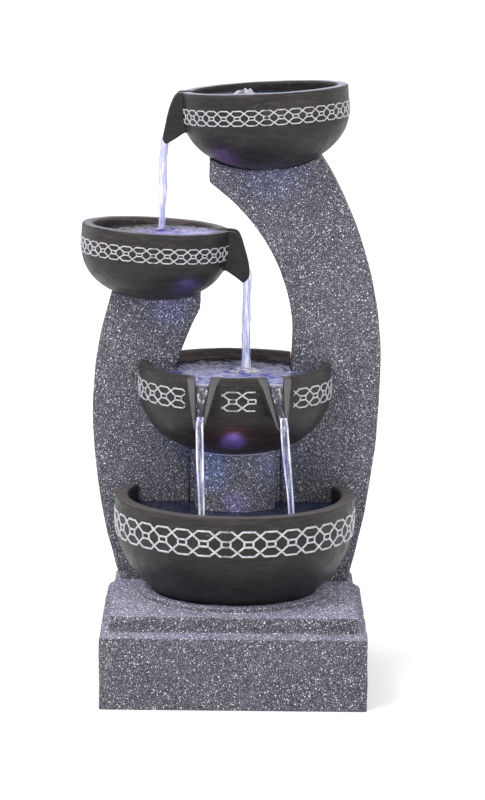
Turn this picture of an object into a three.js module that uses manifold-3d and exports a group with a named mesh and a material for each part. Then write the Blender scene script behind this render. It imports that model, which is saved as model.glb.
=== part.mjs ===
// Tiered garden fountain: four bowls on two crescent pillars over a square plinth.
// Millimetres, +Z up, origin at the middle of the plinth's underside, front towards -Y.
import * as THREE from "three";
import { mergeVertices } from "three/addons/utils/BufferGeometryUtils.js";
import Module from "manifold-3d";

const wasm = await Module();
wasm.setup();

// ---- driving dimensions ----
const GAP = 0.3; // clearance kept between separate pieces
const PLINTH = { w: 343, d: 347, h: 94, rear: 62, wall: 9 };
const STEP = { w: 320, front: -141, back: 167, top: 114, rear: 56 };
const SEAT = { inner: 100, outer: 130, h: 4.5 };
const PILLAR = { front: 68.5, depth: 100, wall: 10, bevel: 4.5, foot: STEP.top + GAP };
const PEDESTAL = { halfW: 60, drum: 52, nose: 0, side: 29, shoulder: 70, top: 312, wall: 8 };
const BASE_PLATE = { t: 6 };
const WATER_Z = 221; // still water in the basin, for the heights of holes

// Bowls: rim centre, radius, depth below the rim to the foot, straight wall, curve depth and
// fullness, wall at the rim, floor, tilt about Y (degrees, positive lowers the +X side).
const TOP = { x: 33.5, y: 84, z: 773.5, r: 110, h: 106, wall: 31, b: 77, n: 2.1, t: 15, floor: 10, tilt: -3.5 };
const LEFT = { x: -107, y: 74, z: 591, r: 98, h: 95.5, wall: 25, b: 73, n: 2.25, t: 15, floor: 10, tilt: 2.9 };
const MIDDLE = { x: -1, y: 57, z: 411.5, r: 127.5, h: 114, wall: 27, b: 93, n: 2.3, t: 15, floor: 10, tilt: 0 };
const BASIN = { x: 0, y: 12.5, z: 244.3, r: 158, h: 130, wall: 28, b: 133, n: 2, t: 19, floor: 12, tilt: 0 };

// Spouts: where they leave the bowl, half widths at the rim and the lip, and sideways lean.
// edge: outer side line (u outwards, w up from the rim); half and lip: half widths at the rim and
// at the lip; lean: how far the lip sits off centre
const SPOUT_TOP = { a: 180, at: 0, reach: 1.1, half: 22, lip: 11, bedHalf: 12.5, bedLip: 6.5, lean: 0,
  edge: [[2, 0], [9.5, -7], [15, -18], [19.5, -30], [22.5, -43], [26, -57], [22.5, -67]] };
const SPOUT_LEFT = { a: 0, at: 0, reach: 1.2, half: 21, lip: 11, bedHalf: 11.5, bedLip: 6.5, lean: 0,
  edge: [[2, 0], [9.5, -2.5], [15, -11], [20.5, -25], [25, -38], [28, -50], [27.5, -59], [20, -68]] };
const CHUTE_EDGE = [[2, 0], [8.5, -7], [13.5, -16], [17, -28], [19.5, -41], [22, -55], [18, -66]];
const SPOUTS_MIDDLE = [
  { a: -90, at: -41, reach: 0.95, half: 22.5, lip: 4.5, bedHalf: 10.5, bedLip: 2.5, lean: -6,
    edge: CHUTE_EDGE },
  { a: -90, at: 50, reach: 0.95, half: 23, lip: 4.5, bedHalf: 11, bedLip: 2.5, lean: 12, edge: CHUTE_EDGE },
];

// ---- solids ----
const colours = {
  stone: 0x6c6b70, bowl: 0x3d3936, plastic: 0x1d1e20, rubber: 0x151515, lens: 0xbfc8ff,
  hose: 0x8f979c, ceramic: 0xe9e7e2, magnet: 0x2a2c30, screw: 0x9b9ea3, cable: 0x101112,
};
const group = new THREE.Group();
group.name = "tiered_fountain";

function solid(geometry) {
  const g = geometry.clone();
  g.deleteAttribute("normal");
  if (g.getAttribute("uv")) g.deleteAttribute("uv");
  const m = mergeVertices(g, 1e-4);
  const s = new wasm.Manifold(new wasm.Mesh({
    numProp: 3,
    vertProperties: new Float32Array(m.attributes.position.array),
    triVerts: new Uint32Array(m.index.array),
  }));
  if (s.volume() <= 0) throw new Error("a solid was made inside out");
  return s;
}

function add(name, s, colour) {
  const mesh = s.getMesh();
  const flat = new THREE.BufferGeometry();
  flat.setAttribute("position", new THREE.BufferAttribute(mesh.vertProperties, 3));
  flat.setIndex(new THREE.BufferAttribute(mesh.triVerts, 1));
  const g = flat.toNonIndexed();
  g.computeVertexNormals();
  const m = new THREE.Mesh(g, new THREE.MeshStandardMaterial({ color: colours[colour] }));
  m.name = name;
  group.add(m);
  return s;
}

const join = (list) => list.reduce((a, b) => a.add(b));
const cut = (s, list) => list.reduce((a, b) => a.subtract(b), s);

function box(x0, x1, y0, y1, z0, z1) {
  const g = new THREE.BoxGeometry(x1 - x0, y1 - y0, z1 - z0);
  return solid(g.translate((x0 + x1) / 2, (y0 + y1) / 2, (z0 + z1) / 2));
}

function shape(points) {
  const s = new THREE.Shape();
  points.forEach(([x, y], i) => (i ? s.lineTo(x, y) : s.moveTo(x, y)));
  s.closePath();
  return s;
}

// Plan outline raised along Z.
function plan(points, z0, z1) {
  const g = new THREE.ExtrudeGeometry(shape(points), { depth: z1 - z0, bevelEnabled: false });
  return solid(g.translate(0, 0, z0));
}

// Front outline (x, z) run along +Y, with softened edges when bevel is given.
function frontal(points, y0, y1, bevel = 0) {
  const g = new THREE.ExtrudeGeometry(shape(points), {
    depth: y1 - y0 - 2 * bevel, bevelEnabled: bevel > 0, bevelThickness: bevel,
    bevelSize: bevel, bevelOffset: -bevel, bevelSegments: 2, curveSegments: 1,
  });
  return solid(g.rotateX(Math.PI / 2).translate(0, y1 - bevel, 0));
}

// Closed (r, z) profile turned about Z, points running up the outside.
function turned(points, segments = 32) {
  const g = new THREE.LatheGeometry(points.map(([r, z]) => new THREE.Vector2(r, z)), segments);
  return solid(g.rotateX(Math.PI / 2).rotateZ(0));
}

const rod = (r, z0, z1, n = 16) => turned([[0, z0], [r, z0], [r, z1], [0, z1]], n);
const alongY = (s) => s.rotate([-90, 0, 0]); // z becomes +y
const alongX = (s) => s.rotate([0, 90, 0]); // z becomes +x

const sideHole = (r, x0, x1, y, z) => alongX(rod(r, 0, x1 - x0, 16)).translate([x0, y, z]);

// A round line through the points, with its bends rounded off.
function line(points, radius, sides, steps) {
  const curve = new THREE.CatmullRomCurve3(points.map((p) => new THREE.Vector3(...p)), false, "centripetal");
  const ring = new THREE.Shape();
  for (let i = 0; i < sides; i++) {
    const a = (i / sides) * 2 * Math.PI;
    const p = [radius * Math.cos(a), radius * Math.sin(a)];
    if (i) ring.lineTo(...p);
    else ring.moveTo(...p);
  }
  ring.closePath();
  return solid(new THREE.ExtrudeGeometry(ring, { steps, extrudePath: curve, bevelEnabled: false }));
}

// Rectangle with rounded rear corners.
function slab(w, y0, y1, rear, front = 2) {
  const pts = [[-w / 2 + front, y0], [w / 2 - front, y0], [w / 2, y0 + front]];
  const n = 7;
  for (let i = 0; i <= n; i++) {
    const a = (i / n) * (Math.PI / 2);
    pts.push([w / 2 - rear + rear * Math.cos(a), y1 - rear + rear * Math.sin(a)]);
  }
  for (let i = 0; i <= n; i++) {
    const a = Math.PI / 2 + (i / n) * (Math.PI / 2);
    pts.push([-w / 2 + rear + rear * Math.cos(a), y1 - rear + rear * Math.sin(a)]);
  }
  pts.push([-w / 2, y0 + front]);
  return pts;
}

// ---- bowls ----
// Outside curve of a bowl as (radius, depth below the rim), from the foot up to the wall.
function bowlCurve(b, shrink, depth, steps) {
  const pts = [];
  for (let i = 0; i <= steps; i++) {
    const t = Math.min(1, (depth - b.wall) / (b.b - shrink)) * Math.cos((i / steps) * Math.PI / 2);
    const r = (b.r - shrink) * Math.pow(Math.max(0, 1 - Math.pow(t, b.n)), 1 / b.n);
    pts.push([Math.max(r, 2), -(b.wall + t * (b.b - shrink))]);
  }
  return pts;
}

function bowlOuter(b, grow = 0, segments = 36) {
  const up = grow ? 60 : 0;
  const pts = [[0, -b.h - grow], ...bowlCurve(b, -grow, b.h + grow, 6)];
  pts.push(...(grow ? [[b.r + grow, up]] : [[b.r, -2], [b.r - 2, 0]]), [0, up]);
  return turned(pts, segments);
}

function bowlInner(b, segments = 36) {
  const depth = b.h - b.floor;
  const curve = bowlCurve(b, b.t, depth, 5);
  const pts = [[0, curve[0][1]], ...curve];
  pts.push([b.r - b.t, -1.5], [b.r - b.t + 1.5, 0], [b.r - b.t + 1.5, 3], [0, 3]);
  return turned(pts, segments);
}

const placed = (s, b) => s.rotate([0, b.tilt, 0]).translate([b.x, b.y, b.z]);

// Beak that carries water over the rim: a side view (u outwards, w up from the rim) narrowed
// towards its lip in the front view.
function spoutParts(b, s) {
  const side = [[-13, 0], ...s.edge, [9, -60], [-2, -54], [-20, -52], [-15, -30]];
  const bed = [[-44, 6], [-44, -13], [-4, -14], [4, -20], [9, -30], [12.5, -42], [15.5, -54], [19, -70],
    [60, -70], [60, 6]].map(([u, w]) => [u > 0 ? u * s.reach : u, w]);
  const front = (half, lip) => [[s.at + s.lean - lip, -70], [s.at + s.lean + lip, -70],
    [s.at + half, 6], [s.at - half, 6]];
  const along = (pts, w) => {
    // (u, w) side view spread sideways: u to +x, sideways to y, w to z
    const g = new THREE.ExtrudeGeometry(shape(pts), { depth: 2 * w, bevelEnabled: false });
    return solid(g.rotateX(Math.PI / 2).translate(0, w, 0));
  };
  const across = (pts) => {
    const g = new THREE.ExtrudeGeometry(shape(pts), { depth: 400, bevelEnabled: false });
    return solid(g.rotateX(Math.PI / 2).rotateZ(Math.PI / 2).translate(-100, 0, 0));
  };
  const start = Math.sqrt(b.r * b.r - s.at * s.at);
  const turn = (m) => m.rotate([0, 0, s.a]);
  const body = along(side, 100).translate([start, 0, 0]).intersect(across(front(s.half, s.lip)));
  const bedOf = along(bed, 100).translate([start, 0, 0])
    .intersect(across(front(s.bedHalf, s.bedLip)));
  return { body: turn(body), bed: turn(bedOf) };
}

function bowl(b, spouts, holes) {
  let s = cut(bowlOuter(b), [bowlInner(b)]);
  for (const sp of spouts) {
    const { body, bed } = spoutParts(b, sp);
    s = cut(s.add(cut(body, [bowlInner(b)])), [bed]);
  }
  return cut(placed(s, b), holes);
}

// ---- pillars ----
const arcX = (cx, cz, r, side) => (z) => cx + side * Math.sqrt(Math.max(0, r * r - (z - cz) ** 2));

const pillars = {
  right: {
    top: 681,
    outer: (z, d) => (z >= 408 ? arcX(-306.7, 408, 499 - d, 1)(z) : arcX(-921.7, 408, 1114 - d, 1)(z)),
    inner: (z, d) => z >= 436 ? Math.max(arcX(-181, 436, 256 + d, 1)(z), -38 + d)
      : Math.max(arcX(-425, 436, 500 + d, 1)(z), 60 + d),
  },
  left: {
    top: 503,
    outer: (z, d) => (z >= 345 ? arcX(318.5, 345, 509 - d, -1)(z) : arcX(531.5, 345, 722 - d, -1)(z)),
    inner: (z, d) => z > 372 ? Math.min(arcX(401.5, 250, 505 + d, -1)(z), -48 - d)
      : Math.min(-60 - d, -89.5 - d + (372 - z) * 0.6),
  },
};

function pillarOutline(p, d, z0, z1, steps) {
  const pts = [];
  const at = (i) => z0 + ((z1 - z0) * i) / steps;
  for (let i = 0; i <= steps; i++) pts.push([p.outer(at(i), d), at(i)]);
  for (let i = steps; i >= 0; i--) pts.push([p.inner(at(i), d), at(i)]);
  return p === pillars.left ? pts.reverse() : pts;
}

function pillar(p, cavityTop, seatOf, holes) {
  const y0 = PILLAR.front, y1 = PILLAR.front + PILLAR.depth;
  const outline = pillarOutline(p, 0, PILLAR.foot - 12, p.top, 22);
  let s = frontal(outline, y0, y1, PILLAR.bevel);
  // square, unsoftened edges where it stands on the plinth
  s = cut(s, [box(-250, 250, y0 - 9, y1 + 9, 60, PILLAR.foot)]);
  const hollow = frontal(pillarOutline(p, PILLAR.wall, PILLAR.foot - 12, cavityTop, 16),
    y0 + PILLAR.wall, y1 - PILLAR.wall);
  const seat = placed(bowlOuter(seatOf, GAP), seatOf);
  return cut(s, [hollow, seat, ...holes]);
}

// ---- plinth and pedestal ----
function pedestalPlan(grow, back = PILLAR.front + PILLAR.depth) {
  // a round-fronted drum, and behind it shoulders that reach the pillars
  const w = PEDESTAL.halfW - GAP + grow, d = PEDESTAL.drum + grow, n = 12, pts = [];
  const deep = PEDESTAL.side - PEDESTAL.nose + grow, y = PEDESTAL.shoulder - grow;
  for (let i = 0; i <= n; i++) {
    const a = Math.PI + (i / n) * Math.PI;
    pts.push([d * Math.cos(a), PEDESTAL.side + deep * Math.sin(a)]);
  }
  pts.push([d, y], [w, y], [w, back + grow], [-w, back + grow], [-w, y], [-d, y]);
  return pts;
}

const D = PLINTH.d / 2;
const DOOR = { x: -12, z0: 229, z1: 279, half: 31, t: 5 };
const BACK = PILLAR.front + PILLAR.depth;
const DRAIN = { x: 0, z: 133, r: 6 };
const GLAND = { x: 36, z: 254, r: 6.5 };
const SCREWS = [[-146, -148], [146, -148], [-122, 118], [122, 118]];

function buildPlinth() {
  const outer = join([
    plan(slab(PLINTH.w, -D, D, PLINTH.rear), 0, PLINTH.h),
    plan(slab(STEP.w, STEP.front, STEP.back, STEP.rear), PLINTH.h - 1, STEP.top),
    turned([[0, STEP.top - 2], [SEAT.outer, STEP.top - 2], [SEAT.outer, STEP.top + 0.8],
      [SEAT.outer - 8, STEP.top + SEAT.h - 0.8], [SEAT.outer - 14, STEP.top + SEAT.h],
      [0, STEP.top + SEAT.h]], 40).translate([BASIN.x, BASIN.y, 0]),
  ]);
  const w = PLINTH.wall;
  let s = cut(outer, [
    plan(slab(PLINTH.w - 2 * w, -D + w, D - w, PLINTH.rear - w), -1, PLINTH.h - w),
    plan(slab(STEP.w - 2 * w, STEP.front + w, STEP.back - w, STEP.rear - w), PLINTH.h - w - 1, STEP.top - w),
    placed(bowlOuter(BASIN, GAP), BASIN),
    box(-200, 200, PILLAR.front - 0.2, 200, STEP.top, STEP.top + 20),
    plan(pedestalPlan(GAP), STEP.top, STEP.top + 20),
  ]);
  const posts = SCREWS.map(([x, y]) => rod(9, BASE_PLATE.t + GAP, STEP.top - 2, 16).translate([x, y, 0]));
  s = join([s, ...posts.map((post) => post.intersect(outer))]);
  return cut(s, SCREWS.map(([x, y]) => rod(2.2, 0, 32, 12).translate([x, y, 0])));
}

function buildPedestal() {
  const inner = pedestalPlan(-PEDESTAL.wall, BACK);
  const solidPlan = plan(pedestalPlan(0), PILLAR.foot, PEDESTAL.top);
  return cut(solidPlan, [
    plan(inner, PILLAR.foot - 1, 281),
    placed(bowlOuter(MIDDLE, GAP), MIDDLE),
    // slots that let the basin's water through to the pump
    ...[-24, -12, 0, 12, 24].map((x) => box(x - 2.5, x + 2.5, -4, 30, 128, 165)),
    box(DOOR.x - DOOR.half, DOOR.x + DOOR.half, BACK - 20, BACK + 10, DOOR.z0, DOOR.z1),
    alongY(rod(DRAIN.r, 0, 30, 20)).translate([DRAIN.x, BACK - 20, DRAIN.z]),
    alongY(rod(GLAND.r, 0, 30, 20)).translate([GLAND.x, BACK - 20, GLAND.z]),
    rod(4, 270, 300, 16).translate([MIDDLE.x, MIDDLE.y, 0]),
    sideHole(9.5, 40, 80, 120, 252),
    sideHole(4.5, -80, -40, 130, 262),
  ]);
}

// ---- the stone work ----
const NOZZLE = { x: 10, y: 96 };
const LAMP = { r: 21, h: 15 };
add("plinth", buildPlinth(), "stone");
add("base_plate", cut(plan(slab(PLINTH.w - 2 * PLINTH.wall - 1, -D + PLINTH.wall + 0.5,
  D - PLINTH.wall - 0.5, PLINTH.rear - PLINTH.wall - 0.5), 0, BASE_PLATE.t),
SCREWS.map(([x, y]) => turned([[0, -1], [5, -1], [5, 2.6], [2.6, 5], [2.6, 8], [0, 8]], 16)
  .translate([x, y, 0]))), "plastic");
SCREWS.forEach(([x, y], i) => add("base_screw_" + (i + 1),
  turned([[0, 0.3], [4.5, 0.3], [4.5, 2.3], [1.9, 5], [1.9, 26], [0, 27]], 8).translate([x, y, 0]),
  "screw"));

const NOZZLE_HOLE = rod(8.5, 640, 720, 20).translate([NOZZLE.x, NOZZLE.y, 0]);
const LEFT_CABLE = { x: -111, y: 88 };
const LEFT_HOLE = rod(4.5, 460, 520, 16).translate([LEFT_CABLE.x, LEFT_CABLE.y, 0]);
add("pillar_right", pillar(pillars.right, 652, TOP, [sideHole(9.5, 40, 80, 120, 252), NOZZLE_HOLE]), "stone");
add("pillar_left", pillar(pillars.left, 478, LEFT, [sideHole(4.5, -80, -40, 130, 262), LEFT_HOLE]), "stone");
add("pedestal", buildPedestal(), "stone");

// ---- the bowls ----
add("bowl_top", bowl(TOP, [SPOUT_TOP], [NOZZLE_HOLE]), "bowl");
add("bowl_left", bowl(LEFT, [SPOUT_LEFT], [LEFT_HOLE]), "bowl");

// clearance volume of a pillar, for the bowl that wraps round it
function pillarClear(p) {
  return frontal(pillarOutline(p, -GAP, PILLAR.foot - 12, p.top, 22),
    PILLAR.front - GAP, BACK + GAP);
}
add("bowl_middle", cut(bowl(MIDDLE, SPOUTS_MIDDLE, [rod(4, 280, 310, 16).translate([MIDDLE.x, MIDDLE.y, 0])]),
  [pillarClear(pillars.right), pillarClear(pillars.left)]), "bowl");
add("basin", cut(bowl(BASIN, [], []), [
  box(-200, 200, PILLAR.front - GAP, 260, 60, 300), plan(pedestalPlan(2 * GAP), 60, 300)]), "bowl");

// ---- pump, in the chamber behind the pedestal's front ----
const P = { x: 0, y: 118, z: STEP.top + 6.3 };
const PUMP = { w: 46, back: 20, front: -8, h: 42, axis: 21 };
const FACE = PUMP.front - 4; // front of the motor's boss
const VOL = { y0: FACE - 16, y1: FACE - 0.4, r: 18 };
const OUT_Y = FACE - 8;
const onPump = (s) => s.translate([P.x, P.y, P.z]);
const axial = (r, y0, y1, n = 16) => alongY(rod(r, 0, y1 - y0, n)).translate([0, y0, PUMP.axis]);
const axialTube = (r, ri, y0, y1, n = 16) => cut(axial(r, y0, y1, n), [axial(ri, y0 - 1, y1 + 1, n)]);
const CUPS = [[-15, -1], [15, -1], [-15, 14], [15, 14]];

add("pump_body", onPump(cut(join([
  box(-PUMP.w / 2, PUMP.w / 2, PUMP.front, PUMP.back, 0, PUMP.h), axial(17, FACE, PUMP.front + 1, 20),
]), [
  axial(9.5, FACE - 1, 11), axial(1.55, 10, 14.5, 10),
  ...CUPS.map(([x, y]) => rod(4.2, -1, 2, 12).translate([x, y, 0])),
  alongY(rod(3.2, 0, 10, 12)).translate([14, 12, 34]),
])), "plastic");
add("pump_shaft", onPump(axial(1.2, VOL.y0 + 0.4, 13.5, 10)), "ceramic");
add("pump_impeller", onPump(join([
  axialTube(8.6, 1.5, FACE - 0.8, FACE + 18.5), axialTube(11, 1.5, FACE - 3.6, FACE - 0.6),
  axialTube(4, 1.5, FACE - 10.4, FACE - 3, 16),
  ...[0, 60, 120, 180, 240, 300].map((a) =>
    box(3, 12.3, FACE - 10.4, FACE - 3.2, -0.8, 0.8).rotate([0, a, 0]).translate([0, 0, PUMP.axis])),
])), "magnet");
// cup over the impeller: intake at the front, outlet going up, side passage for the regulator
add("pump_volute", onPump(join([cut(join([
  axial(VOL.r, VOL.y0, VOL.y1, 20),
  rod(7, 30, 40, 20).translate([0, OUT_Y, 0]), rod(4.4, 39, 52, 16).translate([0, OUT_Y, 0]),
  sideHole(5, 12, 26, OUT_Y, PUMP.axis),
]), [
  axial(14, VOL.y0 + 3, VOL.y1 + 2, 20), axial(7, VOL.y0 - 1, VOL.y0 + 4),
  rod(3.2, 25, 60, 16).translate([0, OUT_Y, 0]), sideHole(2.7, 10, 28, OUT_Y, PUMP.axis),
]),
axialTube(2.6, 1.55, VOL.y0, VOL.y0 + 3, 16),
box(-7.5, -2, VOL.y0 + 0.4, VOL.y0 + 2.6, 20.2, 21.8), box(2, 7.5, VOL.y0 + 0.4, VOL.y0 + 2.6, 20.2, 21.8),
])), "plastic");
add("pump_regulator", onPump(join([
  sideHole(2.3, 16, 27, OUT_Y, PUMP.axis), sideHole(6, 26.4, 30.4, OUT_Y, PUMP.axis),
  box(30, 33, OUT_Y - 1.2, OUT_Y + 1.2, 16, 26),
])), "plastic");
// slotted cover pushed over the intake
add("pump_strainer", onPump(cut(join([
  axial(22, VOL.y0 - 12, VOL.y0 + 3, 20), axial(20, VOL.y0 - 14, VOL.y0 - 11, 20)]), [
  axial(18.4, VOL.y0 - 11.5, VOL.y0 + 10, 20),
  ...[-12, -6, 0, 6, 12].map((x) => box(x - 1.2, x + 1.2, VOL.y0 - 20, VOL.y0 - 9, 10, 32)),
  box(12, 30, OUT_Y - 8, 10, 13, 29), box(-9, 9, OUT_Y - 9, 10, 30, 60),
])), "plastic");
CUPS.forEach(([x, y], i) => add("suction_cup_" + (i + 1),
  turned([[0, -5.6], [7, -5.9], [7.4, -5.2], [4, -1.6], [3.8, 1.6], [0, 1.6]], 12)
    .translate([P.x + x, P.y + y, P.z]), "rubber"));

// ---- water supply ----
const outlet = { x: P.x, y: P.y + OUT_Y, z: P.z + 40.6 };
const hosePath = [
  [outlet.x, outlet.y, outlet.z], [outlet.x, outlet.y, outlet.z + 15], [4, 103, 205], [16, 117, 240],
  [44, 120, 252], [76, 120, 252], [104, 119, 275], [124, 118, 330], [130, 118, 400],
  [122, 118, 480], [97, 116, 556], [54, 109, 610], [18, 100, 634], [NOZZLE.x, NOZZLE.y, 648],
  [NOZZLE.x, NOZZLE.y, 664],
];
const HOSE = { r: 7.4, bore: 5.2 };
add("supply_hose", cut(line(hosePath, HOSE.r, 10, 40), [
  line(hosePath, HOSE.bore, 8, 40),
  rod(HOSE.bore - 0.1, outlet.z - 2, outlet.z + 2, 20).translate([outlet.x, outlet.y, 0]),
  rod(HOSE.bore - 0.1, 662, 668, 20).translate([NOZZLE.x, NOZZLE.y, 0]),
]), "hose");
add("riser_nozzle", cut(join([
  rod(4.4, 650, 667, 12), rod(7.9, 665, 746), rod(6.4, 745, 750)]), [rod(3, 640, 760, 12)])
  .translate([NOZZLE.x, NOZZLE.y, 0]), "plastic");

// ---- lamps: disc body with a domed lens, cable in from below or from the side ----
function lamp(name, place, cableHole) {
  add(name + "_body", cut(place(turned([[0, 0], [LAMP.r - 1, 0], [LAMP.r, 1], [LAMP.r, 11],
    [LAMP.r - 2, LAMP.h - 2], [LAMP.r - 4, LAMP.h - 2], [LAMP.r - 4, 8], [0, 8]], 20)), [cableHole]), "plastic");
  add(name + "_lens", place(turned([[0, 8.3], [LAMP.r - 4.4, 8.3], [LAMP.r - 4.4, 13], [LAMP.r - 7, 15.5],
    [LAMP.r - 13, 17.2], [0, 17.8]], 20)), "lens");
}
const lampSeat = { left: -81.2, middle: -103.6 };
lamp("lamp_left", (s) => placed(s.translate([0, 0, lampSeat.left]), LEFT),
  rod(2.6, 495, 515.5, 12).translate([LEFT_CABLE.x, LEFT_CABLE.y, 0]));
lamp("lamp_middle", (s) => placed(s.translate([0, 0, lampSeat.middle]), MIDDLE),
  rod(2.6, 290, 312, 12).translate([MIDDLE.x, MIDDLE.y, 0]));
const BASIN_LAMP = [0, -23, 126.7];
lamp("lamp_basin", (s) => s.translate(BASIN_LAMP),
  alongY(rod(2.6, 0, 12, 12)).translate([0, -10, 132]));

// ---- cables, all gathered in a sealed box above the water ----
const JUNCTION = { x0: -51, x1: -30, y0: 78.6, y1: 108, z0: 228, z1: 256 };
const J = JUNCTION;
const ports = {
  left: alongY(rod(2.6, 0, 6, 12)).translate([-42, J.y1 - 5, 248]),
  pump: alongY(rod(2.6, 0, 6, 12)).translate([-36, J.y1 - 5, 235]),
  middle: sideHole(2.6, J.x1 - 5, J.x1 + 1, 84, 250),
  supply: sideHole(2.6, J.x1 - 5, J.x1 + 1, 98, 250),
  basin: rod(2.6, J.z0 - 1, J.z0 + 5, 12).translate([-38, 86, 0]),
};
add("junction_box", cut(box(J.x0, J.x1, J.y0, J.y1, J.z0, J.z1), Object.values(ports)), "plastic");
const CABLE = 2;
add("cable_left", line([
  [LEFT_CABLE.x, LEFT_CABLE.y, 514.5], [LEFT_CABLE.x, LEFT_CABLE.y, 495], [-112, 92, 465], [-126, 108, 400],
  [-134, 120, 340], [-120, 129, 285], [-84, 130, 262], [-50, 130, 262], [-43, 126, 255],
  [-42, 116, 248], [-42, J.y1 - 4, 248]], CABLE, 6, 34), "cable");
add("cable_middle", line([
  [MIDDLE.x, MIDDLE.y, 311], [MIDDLE.x, MIDDLE.y, 286], [-6, 62, 268], [-15, 77, 254], [-23, 83.6, 250.3], [J.x1 - 4, 84, 250],
], CABLE, 6, 16), "cable");
add("cable_basin", line([
  [0, -9, 132], [0, -2, 132], [0, 8, 132.5], [0, 24, 138], [-1, 38, 147], [-2, 50, 160], [-16, 66, 190], [-34, 82, 212], [-38, 86, 222],
  [-38, 86, J.z0 + 4]], CABLE, 6, 18), "cable");
add("cable_pump", line([
  [14, P.y + 13, P.z + 34], [14, P.y + 26, P.z + 34], [6, P.y + 30, 175], [-14, 136, 214], [-32, 122, 234],
  [-36, 115, 235], [-36, J.y1 - 4, 235]], CABLE, 6, 18), "cable");
add("cable_supply", line([
  [J.x1 - 4, 98, 250], [-20, 99, 252], [-6, 106, 266], [14, 130, 268], [32, 148, 260], [GLAND.x, 157, GLAND.z],
  [GLAND.x, BACK + 4, GLAND.z]], CABLE, 6, 18), "cable");
add("cable_gland", cut(join([
  alongY(rod(6.1, 0, 12, 20)).translate([GLAND.x, BACK - 11, GLAND.z]),
  alongY(rod(9.5, 0, 3, 6)).translate([GLAND.x, BACK + GAP, GLAND.z]),
  alongY(turned([[0, 0], [8, 0], [8, 5], [5, 8], [0, 8]], 20)).translate([GLAND.x, BACK + GAP + 2, GLAND.z]),
]), [alongY(rod(2.6, 0, 30, 12)).translate([GLAND.x, BACK - 14, GLAND.z])]), "plastic");

// ---- rear cover and drain ----
add("access_door", join([
  box(DOOR.x - DOOR.half - 4, DOOR.x + DOOR.half + 4, BACK + GAP, BACK + GAP + DOOR.t, DOOR.z0 - 4, DOOR.z1 + 4),
  cut(box(DOOR.x - DOOR.half + 0.4, DOOR.x + DOOR.half - 0.4, BACK - 7, BACK + GAP + 1, DOOR.z0 + 0.4, DOOR.z1 - 0.4),
    [box(DOOR.x - DOOR.half + 4, DOOR.x + DOOR.half - 4, BACK - 8, BACK, DOOR.z0 + 4, DOOR.z1 - 4)]),
  box(DOOR.x - 12, DOOR.x + 12, BACK + DOOR.t, BACK + DOOR.t + 9, DOOR.z1 - 12, DOOR.z1 - 8),
]), "plastic");
add("drain_plug", join([
  alongY(turned([[0, 0], [5.2, 0], [5.6, 3], [5.6, 9.2], [9.5, 9.2], [9.5, 13], [0, 13]], 16))
    .translate([DRAIN.x, BACK - 9 + GAP, DRAIN.z]),
  box(-4, 4, BACK + 3, BACK + 11, DRAIN.z - 1.5, DRAIN.z + 1.5),
]), "rubber");

export default group;
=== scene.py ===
"""Looks of the tiered garden fountain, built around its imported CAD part. Metres, front towards -Y."""

import math

import bmesh
import bpy
import numpy as np
from mathutils import Matrix, Vector, noise


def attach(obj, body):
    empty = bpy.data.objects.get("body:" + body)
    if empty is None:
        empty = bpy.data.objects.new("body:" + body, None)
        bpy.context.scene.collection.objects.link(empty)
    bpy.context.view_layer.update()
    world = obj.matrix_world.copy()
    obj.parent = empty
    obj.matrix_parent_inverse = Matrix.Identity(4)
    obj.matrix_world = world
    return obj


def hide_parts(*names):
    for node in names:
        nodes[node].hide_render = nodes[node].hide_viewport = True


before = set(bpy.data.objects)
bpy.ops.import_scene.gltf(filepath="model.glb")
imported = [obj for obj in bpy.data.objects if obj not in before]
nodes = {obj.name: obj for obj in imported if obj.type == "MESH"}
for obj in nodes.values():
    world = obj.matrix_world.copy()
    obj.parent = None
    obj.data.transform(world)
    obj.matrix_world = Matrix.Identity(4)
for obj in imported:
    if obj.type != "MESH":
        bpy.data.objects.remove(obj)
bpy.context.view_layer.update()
MM = 0.001
BODY = "fountain"

# ---------------------------------------------------------------- dimensions, mm, as in the part
PLINTH = dict(w=343, d=347, h=94, rear=62, wall=9)
STEP = dict(w=320, front=-141, back=167, top=114, rear=56)
SEAT = dict(outer=127, h=4.5)
GAP = 0.3  # between neighbouring castings
FRONT, DEPTH = 68.5, 100.0  # of the pillars
BACK = FRONT + DEPTH
FOOT = STEP["top"] + GAP
PED = dict(half=60, drum=52, nose=0, side=29, shoulder=70, top=312)
TOP = dict(x=33.5, y=84, z=773.5, r=110, h=106, wall=31, b=77, n=2.1, t=15, floor=10, tilt=-3.5)
LEFT = dict(x=-107, y=74, z=591, r=98, h=95.5, wall=25, b=73, n=2.25, t=15, floor=10, tilt=2.9)
MIDDLE = dict(x=-1, y=57, z=411.5, r=127.5, h=114, wall=27, b=93, n=2.3, t=15, floor=10, tilt=0)
BASIN = dict(x=0, y=12.5, z=244.3, r=158, h=130, wall=28, b=133, n=2, t=19, floor=12, tilt=0)
SPOUT_TOP = dict(a=180, at=0, reach=1.1, half=22, lip=11, bed_half=12.5, bed_lip=6.5, lean=0, edge=(
    (2, 0.2), (9.5, -6.5), (15, -17), (19.5, -30), (23, -43), (26.4, -55), (27, -62), (23, -68)))
SPOUT_LEFT = dict(a=0, at=0, reach=1.2, half=21, lip=11, bed_half=11.5, bed_lip=6.5, lean=0, edge=(
    (2, 0.2), (10, -2), (15.5, -10.5), (21, -25), (25.4, -38), (28.3, -50), (28, -61), (21, -69)))
CHUTE_EDGE = (
    (2, 0.2), (8.6, -6.5), (13.8, -16), (17.3, -28), (20, -41), (22.3, -53), (22.5, -62), (18.5, -67))
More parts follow.
